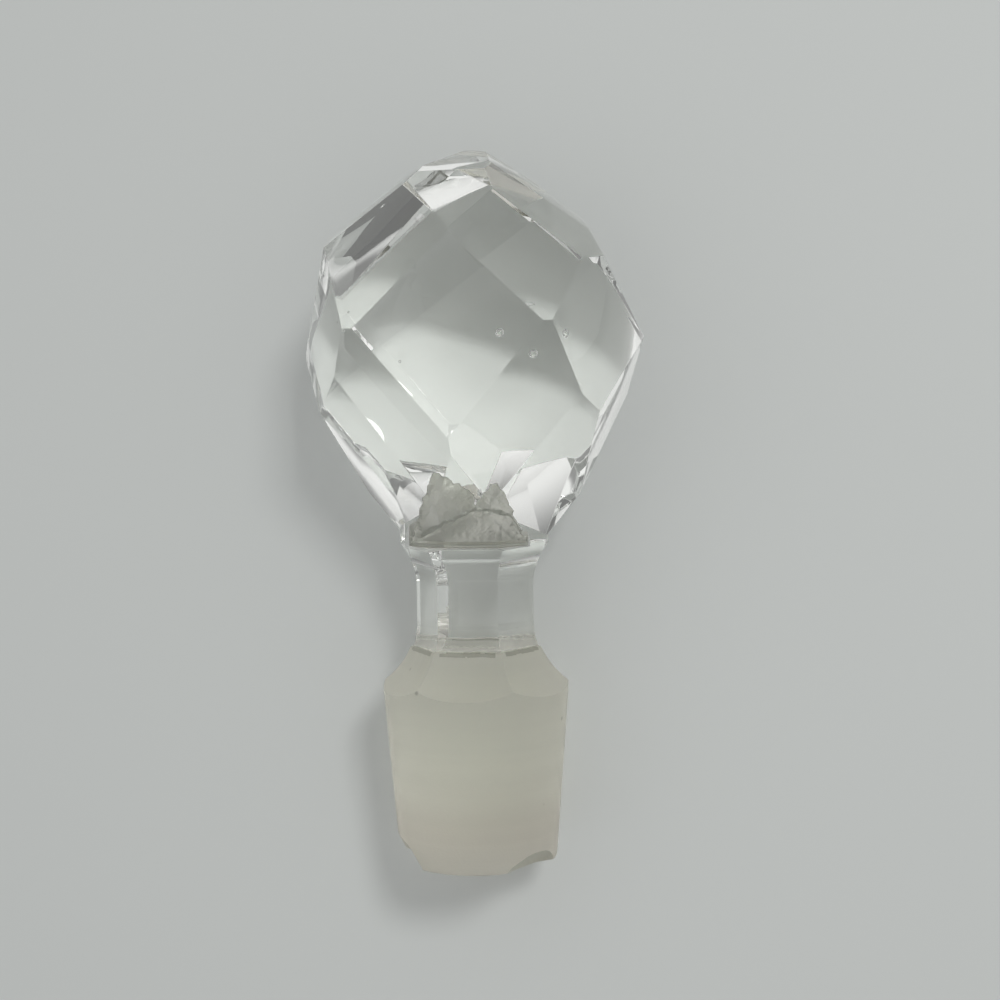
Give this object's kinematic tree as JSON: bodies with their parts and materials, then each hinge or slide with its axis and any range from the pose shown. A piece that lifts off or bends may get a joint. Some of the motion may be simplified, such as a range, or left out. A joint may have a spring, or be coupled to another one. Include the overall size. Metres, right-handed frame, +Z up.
{
  "type": "glass stopper",
  "caption": "Cut-glass bottle stopper: a faceted ball head on a fluted neck and a frosted, ground taper plug, chipped at its end, lying on its side.",
  "frame": {"origin": "bottom centre of the bounding box, on the surface that the stopper lies on", "axes": "+Z up, off the surface that the stopper lies on; +Y level and along the stopper, from the plug's end towards the crown of the ball; +X level, to the right when it is seen from above with the crown at the top"},
  "size_m": [0.0418, 0.0846, 0.0361],
  "materials": {
    "glass": "clear glass, cut and polished on the ball and neck, frosted where the plug is ground"
  },
  "bodies": {
    "root": {"stopper": "glass"}
  },
  "joints": []
}
